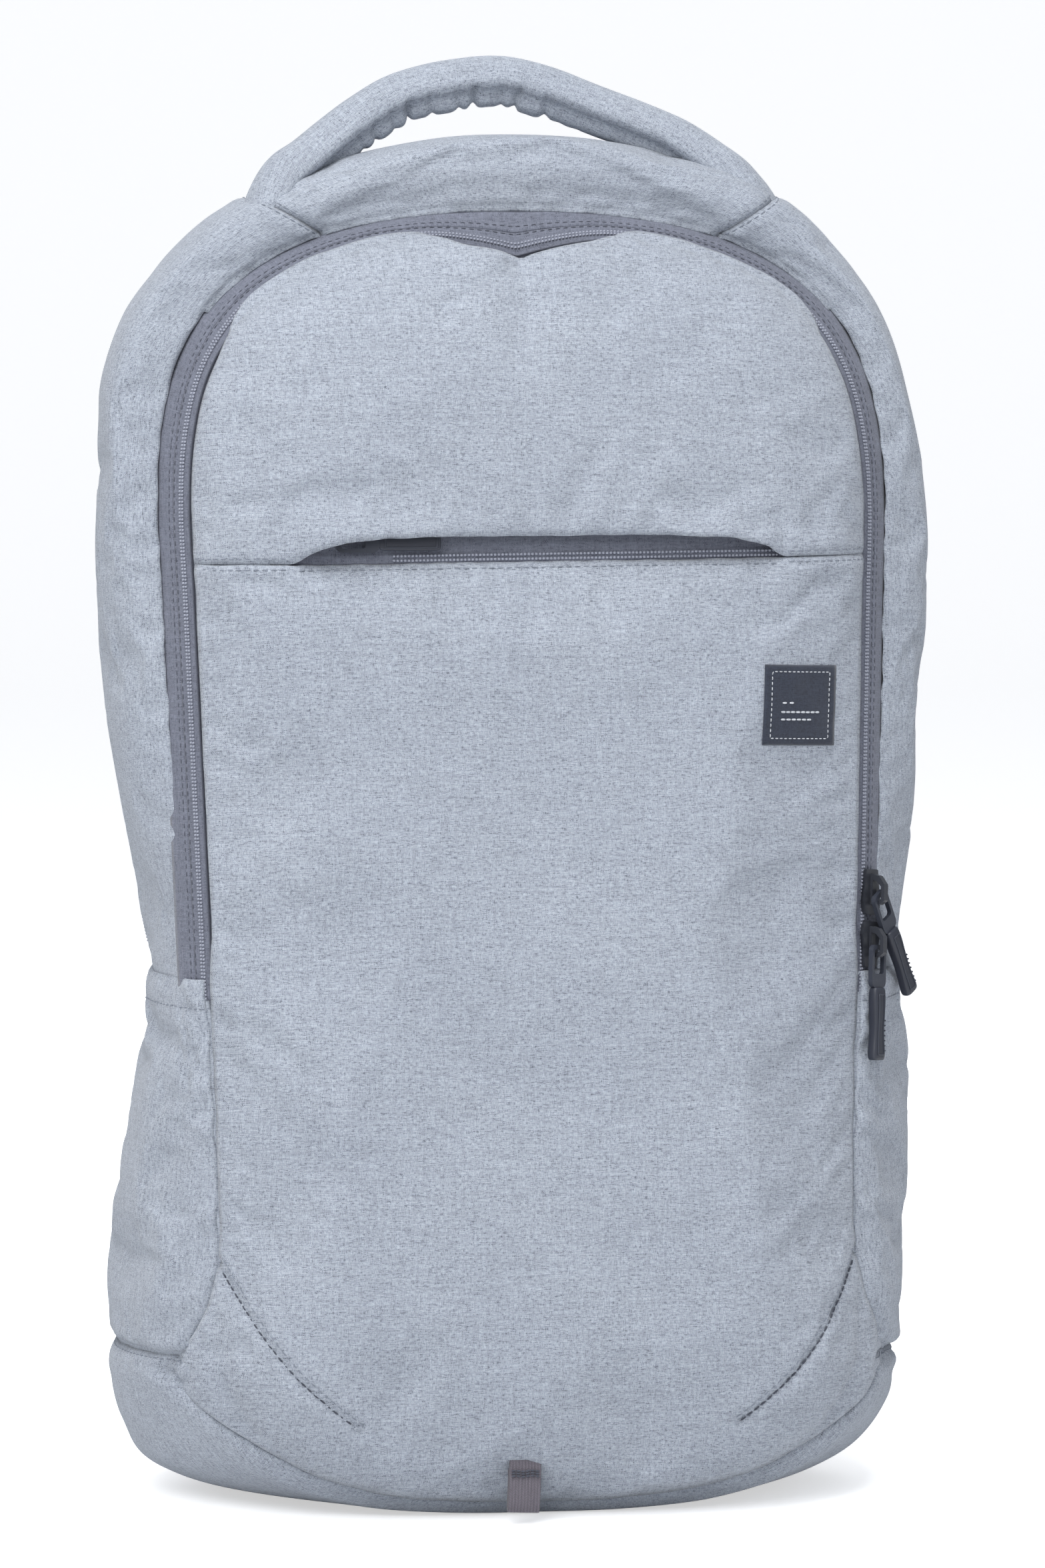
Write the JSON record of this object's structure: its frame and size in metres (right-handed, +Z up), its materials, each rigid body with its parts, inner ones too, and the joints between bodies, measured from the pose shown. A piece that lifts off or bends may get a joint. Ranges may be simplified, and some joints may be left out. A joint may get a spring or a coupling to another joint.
{
  "type": "daypack",
  "caption": "Panel-loading padded daypack with U-shaped front zip, slash pocket, grab handle, side pockets and a shoulder harness with chest strap.",
  "frame": {"origin": "on the ground under the middle of the base, at the middle of the bag's width", "axes": "+Z up towards the grab handle, -Y the front with the zipped panel, +X to the right seen from the front"},
  "size_m": [0.2892, 0.2116, 0.5094],
  "materials": {
    "shell_fabric": "heathered plain weave, matte",
    "lining": "thin plain weave",
    "spacer_mesh": "knitted spacer mesh",
    "foam": "light padding foam, of a density nearer to fabric than to solid rubber",
    "zip_tape": "fine woven tape",
    "slider_metal": "satin black paint",
    "pull_moulding": "moulded, satin",
    "badge_weave": "damask weave",
    "webbing": "ribbed webbing",
    "hardware_plastic": "moulded, fine grain"
  },
  "bodies": {
    "bag": {"back_foam": "foam", "back_pad_left": "spacer_mesh", "back_pad_right": "spacer_mesh", "back_panel": "shell_fabric", "base_panel": "shell_fabric", "divider_panel": "lining", "front_panel_lower": "shell_fabric", "front_stringer_gusset": "zip_tape", "gusset_left": "shell_fabric", "gusset_right": "shell_fabric", "gusset_top": "shell_fabric", "light_loop": "webbing", "lower_web_left": "webbing", "lower_web_right": "webbing", "lumbar_pad": "spacer_mesh", "rear_gusset": "shell_fabric", "rear_stringer_back": "zip_tape", "rear_stringer_front": "zip_tape", "side_pocket_left": "shell_fabric", "side_pocket_right": "shell_fabric", "strap_wing_left": "shell_fabric", "strap_wing_right": "shell_fabric"},
    "front_flap": {"front_panel_main": "shell_fabric", "front_panel_upper": "shell_fabric", "front_stringer_flap": "zip_tape", "badge_patch": "badge_weave", "pocket_stringer_upper": "zip_tape", "pocket_stringer_lower": "zip_tape", "pocket_pouch": "lining"},
    "pocket_slider": {"pocket_slider": "slider_metal"},
    "pocket_pull": {"pocket_pull_link": "pull_moulding", "pocket_pull_grip": "pull_moulding"},
    "front_lower_slider": {"front_lower_slider": "slider_metal"},
    "front_lower_pull": {"front_lower_pull_link": "pull_moulding", "front_lower_pull_grip": "pull_moulding"},
    "front_upper_slider": {"front_upper_slider": "slider_metal"},
    "front_upper_pull": {"front_upper_pull_link": "pull_moulding", "front_upper_pull_grip": "pull_moulding"},
    "rear_lower_slider": {"rear_lower_slider": "slider_metal"},
    "rear_lower_pull": {"rear_lower_pull": "pull_moulding"},
    "rear_upper_slider": {"rear_upper_slider": "slider_metal"},
    "rear_upper_pull": {"rear_upper_pull": "pull_moulding"},
    "grab_handle": {"handle_sleeve": "shell_fabric", "handle_core": "foam"},
    "strap_left": {"shoulder_strap_left": "shell_fabric", "strap_foam_left": "foam", "chest_rail_left": "webbing"},
    "strap_right": {"shoulder_strap_right": "shell_fabric", "strap_foam_right": "foam", "chest_rail_right": "webbing"},
    "adjuster_left": {"ladder_lock_left": "hardware_plastic", "web_tail_left": "webbing"},
    "adjuster_right": {"ladder_lock_right": "hardware_plastic", "web_tail_right": "webbing"},
    "chest_left": {"chest_clip_left": "hardware_plastic", "chest_web_left": "webbing", "buckle_socket": "hardware_plastic"},
    "chest_right": {"chest_clip_right": "hardware_plastic", "chest_web_right": "webbing"},
    "buckle_plug": {"buckle_plug": "hardware_plastic"}
  },
  "joints": [
    {"name": "flap_hinge", "type": "hinge", "parent": "bag", "child": "front_flap", "pos_m": [0, -0.0615, 0.232], "axis": [1, 0, 0], "range_deg": [0, 60]},
    {"name": "pocket_slide", "type": "slide", "parent": "front_flap", "child": "pocket_slider", "axis": [1, 0, 0], "range_m": [0, 0.114]},
    {"name": "front_lower_slide", "type": "slide", "parent": "bag", "child": "front_lower_slider", "axis": [0.0351, 0.0994, 0.9944], "range_m": [0, 0.06]},
    {"name": "front_upper_slide", "type": "slide", "parent": "front_lower_slider", "child": "front_upper_slider", "axis": [0.0351, 0.0994, 0.9944], "range_m": [0, 0.065]},
    {"name": "rear_lower_slide", "type": "slide", "parent": "bag", "child": "rear_lower_slider", "axis": [0.0631, 0, 0.998], "range_m": [0, 0.05]},
    {"name": "rear_upper_slide", "type": "slide", "parent": "rear_lower_slider", "child": "rear_upper_slider", "axis": [0.0631, 0, 0.998], "range_m": [0, 0.05]},
    {"name": "front_upper_pull_hinge", "type": "hinge", "parent": "front_upper_slider", "child": "front_upper_pull", "pos_m": [0.12257, -0.03957, 0.21349], "axis": [-0.6181, -0.647, -0.4464], "range_deg": [0, 105]},
    {"name": "front_lower_pull_hinge", "type": "hinge", "parent": "front_lower_slider", "child": "front_lower_pull", "pos_m": [0.12193, -0.0414, 0.19519], "axis": [-0.707, -0.7008, 0.095], "range_deg": [0, 105]},
    {"name": "rear_upper_pull_hinge", "type": "hinge", "parent": "rear_upper_slider", "child": "rear_upper_pull", "pos_m": [0.13558, 0.04508, 0.24905], "axis": [0.1901, -0.8179, -0.543], "range_deg": [0, 105]},
    {"name": "rear_lower_pull_hinge", "type": "hinge", "parent": "rear_lower_slider", "child": "rear_lower_pull", "pos_m": [0.13442, 0.0451, 0.23075], "axis": [0.2676, -0.9634, -0.0169], "range_deg": [0, 105]},
    {"name": "pocket_pull_hinge", "type": "hinge", "parent": "pocket_slider", "child": "pocket_pull", "pos_m": [-0.0698, -0.05142, 0.33915], "axis": [0, -0.0995, -0.995], "range_deg": [0, 105]},
    {"name": "handle_hinge", "type": "hinge", "parent": "bag", "child": "grab_handle", "pos_m": [0, 0.02, 0.466], "axis": [1, 0, 0], "range_deg": [-35, 35]},
    {"name": "strap_left_hinge", "type": "hinge", "parent": "bag", "child": "strap_left", "pos_m": [0, 0.087, 0.447], "axis": [1, 0, 0], "range_deg": [0, 35]},
    {"name": "strap_right_hinge", "type": "hinge", "parent": "bag", "child": "strap_right", "pos_m": [0, 0.087, 0.447], "axis": [1, 0, 0], "range_deg": [0, 35]},
    {"name": "adjuster_left_hinge", "type": "hinge", "parent": "strap_left", "child": "adjuster_left", "pos_m": [0, 0.101, 0.136], "axis": [1, 0, 0], "range_deg": [0, 35]},
    {"name": "adjuster_right_hinge", "type": "hinge", "parent": "strap_right", "child": "adjuster_right", "pos_m": [0, 0.101, 0.136], "axis": [1, 0, 0], "range_deg": [0, 35]},
    {"name": "chest_left_slide", "type": "slide", "parent": "strap_left", "child": "chest_left", "axis": [0, 0, 1], "range_m": [-0.02, 0.02]},
    {"name": "chest_right_slide", "type": "slide", "parent": "strap_right", "child": "chest_right", "axis": [0, 0, 1], "range_m": [-0.02, 0.02]},
    {"name": "buckle_release", "type": "slide", "parent": "chest_right", "child": "buckle_plug", "axis": [1, 0, 0], "range_m": [0, 0.02]}
  ],
  "couplings": [
    {"joint": "strap_right_hinge", "follows": "strap_left_hinge", "ratio": 1},
    {"joint": "chest_right_slide", "follows": "chest_left_slide", "ratio": 1}
  ]
}
